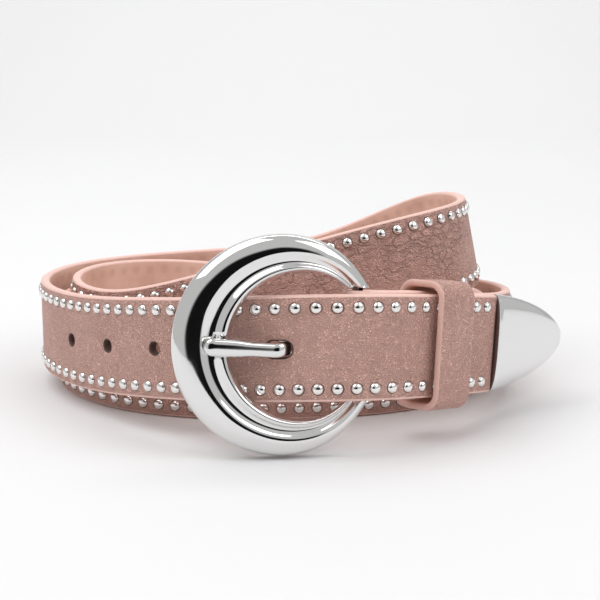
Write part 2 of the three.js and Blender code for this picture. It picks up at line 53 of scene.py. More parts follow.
# The belt's route from the heel bar to the cap: across in half coil widths, back in coil depths,
# inset in strap layers, lift in strap widths and lean in degrees.
route = np.array([
    # fastened layer behind the front
    (0.225, 0.011, 0.98, 0.54, 6), (0.315, 0.034, 0.93, 0.52, 6), (0.43, 0.084, 0.95, 0.48, 5),
    (0.565, 0.148, 1.1, 0.42, 3), (0.74, 0.28, 1.1, 0.28, 2), (0.855, 0.47, 0, 0.14, 1),
    (0.91, 0.635, 0, 0.07, 0), (0.855, 0.785, 0, 0.02, 0),
    # back of the first turn
    (0.695, 0.905, 1, 0, 0), (0.425, 0.965, 1, 0, 0), (0.105, 0.99, 1, 0, 0), (-0.275, 0.99, 1, 0, 0),
    (-0.64, 0.95, 1, 0, 0), (-0.935, 0.855, 1, 0, 0), (-1.11, 0.7, 1, 0, 0), (-1.07, 0.52, 1, 0, 0),
    # lower front layer
    (-0.91, 0.385, 1, 0, 0), (-0.665, 0.28, 1, 0, 0), (-0.36, 0.23, 1, 0, 0), (-0.05, 0.225, 1, 0, 0),
    (0.28, 0.255, 1, 0, 0), (0.55, 0.325, 1, 0, 0), (0.77, 0.455, 1, 0, 0), (0.865, 0.62, 1, 0, 0),
    (0.8, 0.76, 1, 0, 0),
    # back of the second turn
    (0.62, 0.875, 2, 0, 0), (0.35, 0.93, 2, 0, 0), (0.05, 0.965, 2, 0.02, 0), (-0.315, 0.97, 2, 0.1, 0),
    (-0.66, 0.94, 2, 0.2, 0), (-0.945, 0.85, 2, 0.24, 1), (-1.11, 0.7, 2.1, 0.24, 2),
    (-1.08, 0.545, 2.15, 0.18, 2),
    # straight run across the middle
    (-0.76, 0.465, 0, 0.13, 2), (-0.46, 0.43, 0, 0.32, 3), (-0.165, 0.405, 0, 0.57, 5),
    (0.125, 0.395, 0, 0.81, 8),
    (0.4, 0.415, 0, 0.99, 11), (0.61, 0.47, 0, 1.09, 12),
    # raised right bend
    (0.735, 0.595, 0, 1.11, 12), (0.755, 0.755, 0, 1.11, 10), (0.65, 0.915, 0, 1.07, 7),
    # outermost layer, coming down at the back and round the left bend
    (0.405, 1.02, 0, 0.69, 4), (0.115, 1.05, 0, 0.37, 2),
    (-0.18, 1.045, 0, 0.25, 0), (-0.495, 1.01, 0, 0.23, 0),
    (-0.79, 0.94, 0, 0.22, 0), (-1.025, 0.84, 0, 0.21, 0),
    (-1.125, 0.7, 0, 0.2, 0), (-1.095, 0.535, 0, 0.21, 0),
    # front layer with the holes
    (-0.95, 0.385, 0, 0.22, 1), (-0.74, 0.245, 0, 0.29, 2),
    (-0.505, 0.128, 0, 0.4, 3), (-0.275, 0.058, 0, 0.46, 5),
    (-0.05, 0.011, 0, 0.53, 6), (0.175, 0, 0, 0.55, 6), (0.385, 0.062, 0, 0.49, 5), (0.57, 0.148, 0, 0.41, 3),
    (0.72, 0.241, 0, 0.32, 1), (0.78, 0.278, 0, 0.3, 1), (0.845, 0.314, 0, 0.27, 1),
], dtype=float)


def unit(v):
    return v / np.linalg.norm(v, axis=-1, keepdims=True)


def smooth(x):
    # 0 up to 0, 1 from 1 on, and 3 x^2 - 2 x^3 between
    x = np.clip(x, 0.0, 1.0)
    return x * x * (3 - 2 * x)


def beltPath():
    # Uniform cubic B-spline: each sample is four rows, each times its share (1 - u)^3, 3 u^3 - 6 u^2 + 4,
    # 1 + 3 u + 3 u^2 - 3 u^3 and u^3, over 6. The tangent is the difference of the samples beside it.
    spot = route[:, :2] * (belt["halfWidth"], belt["depth"])
    inwards = unit(np.array([0, belt["middle"] * belt["depth"]]) - spot)
    spot = spot + inwards * route[:, 2:3] * belt["layer"]
    rows = np.column_stack([spot, (0.5 + route[:, 3]) * belt["width"], route[:, 4]])
    rows = np.vstack([2 * rows[0] - rows[1], rows, 2 * rows[-1] - rows[-2]])
    u = np.arange(belt["samples"]) / belt["samples"]
    shares = [(1 - u) ** 3, 3 * u ** 3 - 6 * u ** 2 + 4, 1 + 3 * u + 3 * u ** 2 - 3 * u ** 3, u ** 3]
    spans = np.stack([rows[k:len(rows) - 3 + k] for k in range(4)], 1)
    samples = (np.stack(shares, 1) / 6 @ spans).reshape(-1, 4)
    middle, lean = samples[:, :3], np.radians(samples[:, 3:4])
    along = unit(np.vstack([middle[1] - middle[0], middle[2:] - middle[:-2], middle[-1] - middle[-2]]))
    side = unit(np.cross([0, 0, 1.0], along))
    tall = np.cross(along, side)
    upright = tall * np.cos(lean) + side * np.sin(lean)
    inward = side * np.cos(lean) - tall * np.sin(lean)
    arc = np.concatenate([[0], np.cumsum(np.linalg.norm(np.diff(middle, axis=0), axis=1))])
    return arc, np.stack([middle, along, upright, inward])


arc, pathFrames = beltPath()


def frameAt(distance):
    # Middle, along, upright and inward at distances from the bar, blended between samples
    d = np.clip(np.asarray(distance, float), 0, arc[-1])
    out = [np.stack([np.interp(d, arc, part[:, k]) for k in range(3)], -1) for part in pathFrames]
    return [out[0]] + [unit(v) for v in out[1:]]


def place(f, along, height, depth):
    # Middle + along x its way + height x upright + depth x inward, and depth 0 is between the faces
    a, h, d = (np.asarray(v, float)[..., None] for v in (along, height, depth))
    return f[0] + a * f[1] + h * f[2] + d * f[3]


rimAt = arc[-1] - belt["pocket"]  # where the strap enters the cap
foldRadius = belt["barRadius"] + belt["gap"] + belt["skived"] / 2
start = frameAt(0.0)
bar = [start[0] + foldRadius * start[3]] + start[1:]
lastTurn = np.where(arc > rimAt - belt["lastStretch"])[0]
overBar = arc[lastTurn[np.argmin(np.linalg.norm(pathFrames[0][lastTurn] - bar[0], axis=1))]]
tongueHoleAt = overBar - belt["holeToBar"]


def ladder(numbers):
    # Quads between each row of vertex numbers and the next, each row closed on itself
    ahead = np.roll(numbers, -1, axis=1)
    return np.stack([numbers[:-1], ahead[:-1], ahead[1:], numbers[1:]], -1)


def tubeFaces(rings, count, first=0):
    # The skin of a row of closed rings, and its two flat ends
    numbers = first + np.arange(rings * count).reshape(rings, count)
    return ladder(numbers).reshape(-1, 4).tolist() + [numbers[0][::-1].tolist(), numbers[-1].tolist()]


def circle(count):
    # Angles of points spread evenly once round
    return 2 * np.pi * np.arange(count) / count


def rounded(wave, power):
    # A sine or cosine raised to a power with its sign kept, which squares up a circle
    return np.sign(wave) * np.abs(wave) ** power


def splineBlend(p0, p1, p2, p3, u):
    # Catmull-Rom: passes through p1 at u = 0 and p2 at u = 1, with the slopes of their neighbours
    bend = 2 * p0 - 5 * p1 + 4 * p2 - p3
    turn = 3 * p1 - p0 - 3 * p2 + p3
    return 0.5 * (2 * p1 + (p2 - p0) * u + bend * u ** 2 + turn * u ** 3)


def addMesh(name, points, faces, materials, slots=None, uv=None):
    # Points and uv hold a place for each vertex, in millimetres
    mesh = bpy.data.meshes.new(name)
    mesh.from_pydata(((points.reshape(-1, 3) + belt["shift"]) * mm).tolist(), [], faces)
    if uv is not None:
        corners = np.empty(len(mesh.loops), dtype=np.int32)
        mesh.loops.foreach_get("vertex_index", corners)
        layer = mesh.uv_layers.new(name="flat")
        layer.data.foreach_set("uv", (uv.reshape(-1, 2)[corners] * mm).astype(np.float32).ravel())
    for m in materials:
        mesh.materials.append(m)
    if slots is not None:
        mesh.polygons.foreach_set("material_index", np.asarray(slots, dtype=np.int32))
    mesh.polygons.foreach_set("use_smooth", [True] * len(mesh.polygons))
    mesh.update()
    piece = bpy.data.objects.new(name, mesh)
    bpy.context.scene.collection.objects.link(piece)
    return piece


def belongs(piece, node):
    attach(piece, "root")
    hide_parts(node)
    return piece


class Signal:
    # A shader socket that is added, multiplied and compared as a number is
    def __init__(self, graph, socket):
        self.graph = graph
        self.socket = socket

    def maths(self, kind, a, b):
        made = self.graph.node("ShaderNodeMath", {"operation": kind}, {0: a, 1: b})
        return Signal(self.graph, made.outputs[0])

    def __add__(self, other):
        return self.maths("ADD", self, other)

    def __radd__(self, other):
        return self.maths("ADD", other, self)

    def __sub__(self, other):
        return self.maths("SUBTRACT", self, other)

    def __rsub__(self, other):
        return self.maths("SUBTRACT", other, self)

    def __mul__(self, other):
        return self.maths("MULTIPLY", self, other)

    def __rmul__(self, other):
        return self.maths("MULTIPLY", other, self)

    def __truediv__(self, other):
        return self.maths("DIVIDE", self, other)

    def __rtruediv__(self, other):
        return self.maths("DIVIDE", other, self)

    def __pow__(self, other):
        return self.maths("POWER", self, other)

    def __gt__(self, other):
        return self.maths("GREATER_THAN", self, other)

    def __mod__(self, other):
        return self.maths("FLOORED_MODULO", self, other)

    def ramp(self, low, high):
        # 0 below low, 1 above high, smooth between
        made = self.graph.node("ShaderNodeMapRange", {"interpolation_type": "SMOOTHSTEP"},
                               {0: self, 1: low, 2: high, 3: 0.0, 4: 1.0})
        return Signal(self.graph, made.outputs[0])


class Graph:
    # A node tree with one way to add a node
    def __init__(self, tree):
        self.tree = tree
        tree.nodes.clear()

    def node(self, kind, settings=None, inputs=None):
        made = self.tree.nodes.new(kind)
        for key, value in (settings or {}).items():
            setattr(made, key, value)
        for key, value in (inputs or {}).items():
            socket = made.inputs[key]
            if isinstance(value, Signal):
                self.tree.links.new(value.socket, socket)
            elif isinstance(value, bpy.types.NodeSocket):
                self.tree.links.new(value, socket)
            elif socket.type == "RGBA" and len(value) == 3:
                socket.default_value = (*value, 1.0)
            else:
                socket.default_value = value
        return made

    def noise(self, vector, scale, detail=3.0, rough=0.55):
        inputs = {"Vector": vector, "Scale": scale, "Detail": detail, "Roughness": rough}
        return Signal(self, self.node("ShaderNodeTexNoise", {}, inputs).outputs["Fac"])

    def cells(self, vector, scale):
        # Distance to the edge of the nearest cell
        inputs = {"Vector": vector, "Scale": scale}
        made = self.node("ShaderNodeTexVoronoi", {"feature": "DISTANCE_TO_EDGE"}, inputs)
        return Signal(self, made.outputs["Distance"])

    def vector(self, kind, a, b, c=None):
        inputs = {0: a, 1: b} if c is None else {0: a, 1: b, 2: c}
        return self.node("ShaderNodeVectorMath", {"operation": kind}, inputs).outputs[0]

    def blend(self, share, a, b):
        return self.node("ShaderNodeMix", {"data_type": "RGBA"}, {0: share, 6: a, 7: b}).outputs[2]

    def bump(self, height, strength, distance):
        inputs = {"Strength": strength, "Distance": distance, "Height": height}
        return self.node("ShaderNodeBump", {}, inputs).outputs[0]

    def objectSpot(self):
        return self.node("ShaderNodeTexCoord").outputs["Object"]


def newMaterial(name):
    made = bpy.data.materials.new(name)
    made.use_nodes = True
    return made, Graph(made.node_tree)


def surface(graph, inputs):
    skin = graph.node("ShaderNodeBsdfPrincipled", {}, inputs)
    graph.node("ShaderNodeOutputMaterial", {}, {"Surface": skin.outputs[0]})


# Colours, then scales in features a metre, and lengths in metres
leather = {
    # The side colour is darker than the faces' tones: painted shade on the keeper's edges
    "light": (0.93, 0.57, 0.485), "dark": (0.75, 0.43, 0.36), "side": (0.70, 0.43, 0.365),
    # The last colour on the next line is near black: painted shade in the hole walls, round the studs' feet
    # and at the cap's joint
    "pore": (0.36, 0.18, 0.15), "edge": (0.85, 0.56, 0.49), "cut": (0.10, 0.055, 0.045),
    "lining": (0.80, 0.52, 0.42), "liningDark": (0.58, 0.34, 0.265),
    "patches": 60.0, "grain": 1500.0, "pebbles": 1600.0, "creases": 330.0, "creasePatches": 45.0,
    "relief": 0.0006, "nudge": (0.0012, 0.0012, 0.0), "bend": (0.0034, 0.0034, 0.0),
    "creaseFrom": 0.62, "creaseTo": 0.90, "fade": 0.05,  # the creased stretch, from the bar
}
# Marks of the studs' backs on the lining, in metres
studMarks = {"pitch": 0.0055, "row": 0.0113, "inside": 0.0008, "outside": 0.0019}


def strapCoords(graph):
    flat = graph.node("ShaderNodeUVMap", {"uv_map": "flat"})
    split = graph.node("ShaderNodeSeparateXYZ", {}, {0: flat.outputs[0]})
    return flat.outputs[0], Signal(graph, split.outputs[0]), Signal(graph, split.outputs[1])


def outerLeather(name):
    made, g = newMaterial(name)
    flat, u, v = strapCoords(g)
    patches = g.noise(flat, leather["patches"], 5.0, 0.65)
    grain = g.noise(flat, leather["grain"], 2.0, 0.6)
    uneven = {0: g.noise(flat, 420.0), 1: g.noise(flat, 431.0, 3.0, 0.6)}
    push = g.node("ShaderNodeCombineXYZ", {}, uneven).outputs[0]
    nudged = g.vector("MULTIPLY_ADD", push, leather["nudge"], flat)
    bent = g.vector("MULTIPLY_ADD", push, leather["bend"], flat)
    # Pebbles about 0.6 mm across, parted by fine grooves
    groove = 1.0 - g.cells(nudged, leather["pebbles"]).ramp(0.0, 0.24)
    # Longer creases where the strap bends, hardly any elsewhere
    drawn = g.vector("MULTIPLY", bent, (0.62, 1.15, 1.0))
    crease = 1.0 - g.cells(drawn, leather["creases"]).ramp(0.0, 0.11)
    begin = u.ramp(leather["creaseFrom"], leather["creaseFrom"] + leather["fade"])
    stop = 1.0 - u.ramp(leather["creaseTo"] - leather["fade"], leather["creaseTo"])
    mask = begin * stop * g.noise(flat, leather["creasePatches"], 2.0).ramp(0.38, 0.58)
    crease = crease * (0.04 + mask * 0.96)
    tone = g.blend(patches.ramp(0.25, 0.75) * 0.7 + 0.15, leather["dark"], leather["light"])
    tone = g.blend(groove * 0.6, tone, leather["dark"])
    tone = g.blend(grain.ramp(0.52, 0.75) * 0.22, tone, leather["pore"])
    tone = g.blend(crease * 0.3, tone, leather["pore"])
    height = g.bump(grain * 0.5 - groove * 0.9 - crease * 1.7, 1.0, leather["relief"])
    rough = 0.4 + groove * 0.25
    surface(g, {"Base Color": tone, "Roughness": rough, "Normal": height, "Specular IOR Level": 0.45})
    return made


def liningLeather(name):
    made, g = newMaterial(name)
    flat, u, v = strapCoords(g)
    patches = g.noise(flat, 70.0, 4.0)
    grain = g.noise(flat, 1400.0, 2.0, 0.6)
    tone = g.blend(patches.ramp(0.3, 0.75) * 0.7, leather["lining"], leather["liningDark"])
    # Faint marks of the studs' backs
    away = (u % studMarks["pitch"]) - studMarks["pitch"] / 2
    up = v - studMarks["row"]
    down = v + studMarks["row"]
    upper = 1.0 - ((away * away + up * up) ** 0.5).ramp(studMarks["inside"], studMarks["outside"])
    lower = 1.0 - ((away * away + down * down) ** 0.5).ramp(studMarks["inside"], studMarks["outside"])
    tone = g.blend((upper + lower) * 0.35, tone, leather["liningDark"])
    height = g.bump(grain, 0.3, 0.0002)
    surface(g, {"Base Color": tone, "Roughness": 0.7, "Normal": height, "Specular IOR Level": 0.3})
    return made


def plainLeather(name, colour, rough, grainScale):
    made, g = newMaterial(name)
    grain = g.noise(g.objectSpot(), grainScale, 2.0)
    tone = g.blend(grain.ramp(0.3, 0.8) * 0.3, colour, tuple(0.75 * c for c in colour))
    surface(g, {"Base Color": tone, "Roughness": rough, "Normal": g.bump(grain, 0.2, 0.0002)})
    return made


def metal(name, colour, rough):
    made, g = newMaterial(name)
    haze = g.noise(g.objectSpot(), 220.0, 2.0)
    surface(g, {"Base Color": colour, "Metallic": 1.0, "Roughness": rough + haze * 0.04})
    return made


outerSkin = outerLeather("leather_outer")
liningSkin = liningLeather("leather_lining")
edgePaint = plainLeather("leather_edge", leather["edge"], 0.45, 700.0)
# The keeper's edges get a darker leather as painted shade
keeperShadedSide = plainLeather("leather_side_shaded", leather["side"], 0.55, 1400.0)
# Near-black painted shade, not a leather colour: hole walls, rings round the studs' feet, the cap's joint
paintedShade = plainLeather("leather_cut", leather["cut"], 0.8, 900.0)
chrome = metal("chrome", (0.77, 0.765, 0.76), 0.04)
studMetal = metal("stud_metal", (0.84, 0.82, 0.80), 0.09)
print("stage: materials")


# Strap: a band of rounded section carried along the route, with its holes laid out in the grid
strapLook = {
    "faceCells": 16, "edgeTurns": (30, 60, 90, 120, 150), "foldSteps": 12,
    "closing": 16.0, "swelling": 20.0,  # how soon the flap closes up, and the skived end gets thick
    "endNear": 0.3, "endNearWide": 27.6, "endFar": 0.9, "endFarWide": 21.6, "endThinner": 0.6,
    "holeRadius": 1.85, "holeSpacing": 21.4, "spareHoles": 4, "holeReach": 2, "lip": 0.4, "lipDeep": 0.78,
    "tongueHalf": 2.38, "tongueStraight": 1.5, "tongueBack": 2.1, "tongueReach": 3, "slotReach": 2,
}


def strapSection():
    # Up the outer face, half round the edge, down the lining and half round the other edge, as shares of
    # the flat height, of the edge's radius and of half the thickness
    up = np.linspace(-1, 1, strapLook["faceCells"] + 1)
    turns = np.radians(strapLook["edgeTurns"])
    return np.vstack([
        np.column_stack([up, 0 * up, 0 * up - 1]),
        np.column_stack([0 * turns + 1, np.sin(turns), -np.cos(turns)]),
        np.column_stack([-up, 0 * up, 0 * up + 1]),
        np.column_stack([0 * turns - 1, -np.sin(turns), np.cos(turns)]),
    ])


def strapRings():
    # The flap runs beside the route, the fold is half a turn round the bar, the run follows the route to
    # the cap, and two narrower rings end the strap inside it
    flapSteps = int(belt["flap"] / belt["step"])
    back = belt["flap"] * np.arange(flapSteps, 0, -1) / flapSteps
    flap = frameAt(back)
    closed = (belt["thickness"] + belt["skived"]) / 2 + belt["gap"]
    offset = 2 * foldRadius + (closed - 2 * foldRadius) * smooth(back / strapLook["closing"])
    turn = np.pi * (1 - np.arange(strapLook["foldSteps"]) / strapLook["foldSteps"])
    facing = np.cos(turn)[:, None] * bar[3] + np.sin(turn)[:, None] * bar[1]
    still = np.ones_like(facing)
    steps = int(round(rimAt / belt["step"]))
    stations = rimAt * np.arange(steps + 1) / steps
    ends = np.array([strapLook["endNear"], belt["pocket"] - strapLook["endFar"]])
    rim = frameAt(np.full(2, rimAt))
    parts = [
        [place(flap, 0, 0, offset), flap[1], flap[2], -flap[3]],
        [bar[0] - foldRadius * facing, still * bar[1], still * bar[2], facing],
        frameAt(stations),
        [place(rim, ends, 0, 0)] + rim[1:],
    ]
    frames = [np.concatenate(v) for v in zip(*parts)]
    marks = np.concatenate([-back - np.pi * foldRadius, -turn * foldRadius, stations, rimAt + ends])
    first = len(back) + len(turn)
    wide = np.full(len(marks), belt["width"])
    wide[-2:] = strapLook["endNearWide"], strapLook["endFarWide"]
    thick = np.full(len(marks), belt["skived"])
    thick[first:-2] += (belt["thickness"] - belt["skived"]) * smooth(stations / strapLook["swelling"])
    thick[-2:] = belt["thickness"] - strapLook["endThinner"]
    return frames, marks, wide, thick, stations, first, flapSteps


def cellLoop(low, high, left, right):
    # Rings and columns of the corners round a block of grid cells, once round
    rows, columns = np.arange(low, high), np.arange(left, right)
    ring = np.concatenate([rows, 0 * columns + high, rows[::-1] + 1, 0 * columns + low])
    column = np.concatenate([0 * rows + left, columns, 0 * rows + right, columns[::-1] + 1])
    return ring, column


def buildStrap():
    # Point = ring's middle + section height x upright + section depth x inward, over rings and section.
    # A hole's wall is four such loops, each a circle, or a circle drawn out along the strap.
    frames, marks, wide, thick, stations, first, flapSteps = strapRings()
    section, cells = strapSection(), strapLook["faceCells"]
    heights = section[:, 0] * (wide[:, None] / 2 - belt["edge"]) + section[:, 1] * belt["edge"]
    grid = place([v[:, None] for v in frames], 0, heights, section[:, 2] * thick[:, None] / 2)
    flat = section[:, 0] * (belt["width"] / 2 - belt["edge"]) + section[:, 1] * belt["edge"]
    uv = np.stack(np.broadcast_arrays(marks[:, None], flat), -1)
    points, uvs, faces, slots = [grid.reshape(-1, 3)], [uv.reshape(-1, 2)], [], []
    numbers = np.arange(heights.size).reshape(heights.shape)
    column = np.arange(len(section))
    lining = cells + 1 + len(strapLook["edgeTurns"])  # the lining's first column
    skins = np.where(column < cells, 0, np.where((column >= lining) & (column < lining + cells), 2, 1))
    uncut = np.ones((len(numbers) - 1, len(section)), bool)
    left, right = cells // 2 - strapLook["slotReach"], cells // 2 + strapLook["slotReach"]

    def opened(low, high):
        # Takes the cells out of both faces, and gives the loops round them
        uncut[low:high, left:right] = False
        uncut[low:high, lining + cells - right:lining + cells - left] = False
        ring, across = cellLoop(low, high, left, right)
        return ring, across, numbers[ring, across], numbers[ring, lining + cells - across]

    holes = [(tongueHoleAt - strapLook["tongueBack"], strapLook["tongueHalf"],
              strapLook["tongueStraight"], strapLook["tongueReach"])]
    spares = [tongueHoleAt - (n + 1) * strapLook["holeSpacing"] for n in range(strapLook["spareHoles"])]
    holes += [(spot, strapLook["holeRadius"], 0.0, strapLook["holeReach"]) for spot in spares]
    grow = np.array([strapLook["lip"], 0, 0, strapLook["lip"]])[:, None]
    deep = np.array([-1, -strapLook["lipDeep"], strapLook["lipDeep"], 1])[:, None] * belt["thickness"] / 2
    for centre, radius, straight, reach in holes:
        mid = first + int(np.argmin(np.abs(stations - centre)))
        ring, across, outer, inner = opened(mid - reach, mid + reach)
        away = stations[ring - first] - centre
        drawn = np.clip(away, -straight, straight)
        angle = np.arctan2(flat[across], away - drawn)
        along, up = drawn + np.cos(angle) * (radius + grow), np.sin(angle) * (radius + grow)
        wall = sum(map(len, points)) + np.arange(along.size).reshape(along.shape)
        points.append(place(frameAt(centre + along), 0, up, deep).reshape(-1, 3))
        uvs.append(np.stack([centre + along, up], -1).reshape(-1, 2))
        faces.append(ladder(np.vstack([outer, wall, inner])).reshape(-1, 4))
        # The hole's wall takes slot 3, near-black painted shade inside the hole
        slots.append(np.repeat((0, 3, 3, 3, 2), len(outer)))
    # Slot in the fold for the tongue's eye, from the flap round the bar to the fastened layer
    ring, across, outer, inner = opened(flapSteps - strapLook["slotReach"], first + strapLook["slotReach"])
    faces.append(ladder(np.stack([outer, inner])).reshape(-1, 4))
    # The slot's walls take the same painted shade
    slots.append(np.full(len(outer), 3))
    faces.append(ladder(numbers)[uncut])
    slots.append(np.broadcast_to(skins, uncut.shape)[uncut])
    ends = [numbers[0][::-1].tolist(), numbers[-1].tolist()]
    slots.append([1, 1])
    return addMesh("strap_leather", np.vstack(points), np.vstack(faces).tolist() + ends,
                   [outerSkin, edgePaint, liningSkin, paintedShade], np.concatenate(slots), np.vstack(uvs))


strapPiece = belongs(buildStrap(), "strap")
print("stage: strap", len(strapPiece.data.polygons))


# Studs: low domes in two rows over the outer face, each with a thin near-black ring of painted shade round
# its foot
studLook = {
    "pitch": 5.5, "row": 11.3, "sides": 12, "from": 62.0, "beforeCap": 0.9, "rise": 0.95,
    "profile": ((1.92, -0.05), (1.6, 0.03), (1.56, 0.33), (1.22, 0.7), (0.64, 0.89)),  # radius and rise
}


def buildStuds():
    # Point = stud's centre + radius x (cosine along, sine up), risen off the face, over studs, rows,
    # profile and turn. A point on top closes each dome, and a flat face below.
    spots = np.arange(rimAt - studLook["beforeCap"] * studLook["pitch"], studLook["from"], -studLook["pitch"])
    profile, rows = np.array(studLook["profile"]), np.array([studLook["row"], -studLook["row"]])
    turn, frames, face = circle(studLook["sides"]), frameAt(spots), belt["thickness"] / 2
    up = rows[:, None, None] + profile[:, :1] * np.sin(turn)
    along = profile[:, :1] * np.cos(turn)
    domes = place([v[:, None, None, None] for v in frames], along, up, -face - profile[:, 1:])
    tops = place([v[:, None] for v in frames], 0, rows, -face - studLook["rise"])
    points = np.concatenate([domes.reshape(len(spots), 2, -1, 3), tops[:, :, None]], axis=2)
    one = np.arange(len(profile) * len(turn)).reshape(len(profile), -1)
    firsts = points.shape[2] * np.arange(2 * len(spots))[:, None]
    skin = ladder(one).reshape(-1, 4)
    crown = np.stack([one[-1], np.roll(one[-1], -1), 0 * one[-1] + one.size], -1)
    faces = [(firsts[..., None] + part).reshape(-1, part.shape[-1]) for part in (skin, crown, one[:1, ::-1])]
    # The first band of each dome, a ring round its foot, and the face below take the painted shade
    dark = [np.arange(len(skin)) < len(turn), np.zeros(len(crown), bool), np.ones(1, bool)]
    slots = np.concatenate([np.tile(part, len(firsts)) for part in dark])
    return addMesh("studs", points, sum((part.tolist() for part in faces), []), [studMetal, paintedShade], slots)


studPiece = belongs(buildStuds(), "strap")
print("stage: studs", len(studPiece.data.polygons))


# Buckle: a crescent whose section is a dome, a shallow hollow and a bead on the inner side
buckleLook = {
    "height": 62.0, "barReach": 0.56, "steps": 150, "sectionPoints": 56, "from": 36.0, "blur": 9.0,
    "front": 0.58, "back": 0.42,  # how the depth is shared before and behind the middle
    "beadFrom": 0.45, "beadFade": 0.12, "notch": 7.0, "notchDeep": 0.3,  # the bead, and its notch in degrees
    "play": 0.9, "barSides": 20, "barSunk": 1.6,
}
half = buckleLook["height"] / 2  # half the buckle's height
# Rows round the crescent: angle from the bar's side, reach, width, depth and out, in half buckle heights
crescent = np.array([
    (36, 0.77, 0.15, 0.14, 0), (50, 0.79, 0.185, 0.155, 0.04), (67, 0.82, 0.24, 0.18, 0.11),
    (90, 0.83, 0.335, 0.2, 0.17), (120, 0.832, 0.43, 0.215, 0.215), (150, 0.836, 0.5, 0.22, 0.235),
    (180, 0.838, 0.525, 0.22, 0.24),
])


def buckleFrame():
    upright = bar[2]
    inward = unit(-np.cross([1.0, 0, 0], upright))
    along = unit(-np.cross(upright, inward))
    middle = bar[0] - along * buckleLook["barReach"] * half
    return [middle + upright * (half - middle[2] / upright[2]), along, upright, inward]


buckle = buckleFrame()
strapDrop = float(np.dot(buckle[0] - bar[0], buckle[2]))


def closedCurve(control, count):
    # Closed Catmull-Rom curve through the control points
    n = len(control)
    t = np.linspace(0, n, count, endpoint=False)
    i = np.floor(t).astype(int)
    return splineBlend(*(control[(i + k) % n] for k in (-1, 0, 1, 2)), (t % 1)[:, None])


def crescentAt(angle):
    # Rows blended round the crescent, then averaged over a few degrees so that no kink shows
    near = angle[:, None] + np.linspace(-buckleLook["blur"], buckleLook["blur"], 19)
    near = np.where(near > 180, 360 - near, near)
    return [np.interp(near, crescent[:, 0], crescent[:, k]).mean(1) * half for k in (1, 2, 3, 4)]


# The crescent's section: across from the outer side as 1 to the inner as -1, and forward
crescentSection = np.array([
    (1.0, 0.0), (0.975, 0.3), (0.9, 0.55), (0.75, 0.77), (0.54, 0.91), (0.3, 0.985), (0.1, 1.0),
    (-0.06, 0.95), (-0.2, 0.82), (-0.36, 0.73), (-0.5, 0.73), (-0.6, 0.83), (-0.7, 0.96), (-0.82, 0.98),
    (-0.92, 0.84), (-0.98, 0.45), (-1.0, 0.0), (-0.98, -0.5), (-0.86, -0.95), (-0.5, -1.0),
    (0.0, -1.0), (0.5, -1.0), (0.86, -0.9), (0.97, -0.5),
])


def buildCrescent():
    # Point = centre + (reach + across) x (cosine along, sine up), forward by the section, over angle and
    # section. The bar is two circles, joined.
    angle = np.linspace(buckleLook["from"], 360 - buckleLook["from"], buckleLook["steps"] + 1)
    reach, width, depth, out = (v[:, None] for v in crescentAt(angle))
    across, forward = closedCurve(crescentSection, buckleLook["sectionPoints"]).T
    turn = np.radians(angle)[:, None]
    front = np.where(forward > 0, buckleLook["front"], buckleLook["back"]) * forward * depth
    # The bead is let in where the tongue crosses it
    crossing = np.exp(-((angle - 180) / buckleLook["notch"]) ** 6)[:, None]
    bead = smooth((-across - buckleLook["beadFrom"]) / buckleLook["beadFade"]) * (forward > 0.5)
    front = front - crossing * bead * buckleLook["notchDeep"] * buckleLook["front"] * depth
    radius = reach + across * width / 2
    height = np.sin(turn) * radius
    # The ends are flat just past the strap's edges
    opening = belt["width"] / 2 + buckleLook["play"]
    upper = (turn < np.pi / 2) & (height + strapDrop < opening)
    lower = (turn > np.pi * 1.5) & (height + strapDrop > -opening)
    height = np.where(upper, opening - strapDrop, np.where(lower, -opening - strapDrop, height))
    shell = place(buckle, np.cos(turn) * radius, height, -front - out)
    a = circle(buckleLook["barSides"])
    ends = np.array([[-1], [1]]) * (opening + buckleLook["barSunk"]) - strapDrop
    edge = belt["barRadius"] * np.array([np.cos(a), np.sin(a)])
    rod = place(buckle, buckleLook["barReach"] * half + edge[0], ends, edge[1])
    faces = tubeFaces(*shell.shape[:2]) + tubeFaces(2, len(a), shell.size // 3)
    return addMesh("buckle_crescent", np.vstack([shell.reshape(-1, 3), rod.reshape(-1, 3)]), faces, [chrome])


bucklePiece = belongs(buildCrescent(), "buckle_frame")
print("stage: buckle")


# Tongue: a bar of rounded section from the heel bar through the hole to the crescent, with its eye
tongueLook = {
    "high": 4.1, "endHigh": 4.9, "deep": 2.8, "sides": 28, "steps": 90, "square": 0.75,
    "widens": 0.68, "widening": 0.14, "tip": 2.4,  # where the point gets higher, and how long its end is
    "drop": 0.7, "beside": 3.0, "overCrescent": 1.5, "ontoCrescent": 0.1,
    # how it goes through the hole: along from the hole's middle, share of the way beside, and more
    "through": ((9.5, 1, 1.35), (4.4, 1, 0.5), (0.6, 1, -0.1), (-0.6, 0, 0), (-1.2, -0.7, 0), (-3.1, -1, 0)),
    "eyeAround": 28, "eyeSides": 12, "eyeDeep": 1.4, "eyeHigh": 4.0,
}


def openCurve(points, count):
    # Catmull-Rom curve through the points, walked at an even pace
    ext = np.vstack([2 * points[0] - points[1], points, 2 * points[-1] - points[-2]])
    t = np.linspace(0, len(points) - 1, 400)
    i = np.minimum(np.floor(t).astype(int), len(points) - 2)
    fine = splineBlend(*(ext[i + k] for k in range(4)), (t - i)[:, None])
    length = np.concatenate([[0], np.cumsum(np.linalg.norm(np.diff(fine, axis=0), axis=1))])
    even = np.linspace(0, length[-1], count)
    return np.stack([np.interp(even, length, fine[:, k]) for k in range(3)], 1)


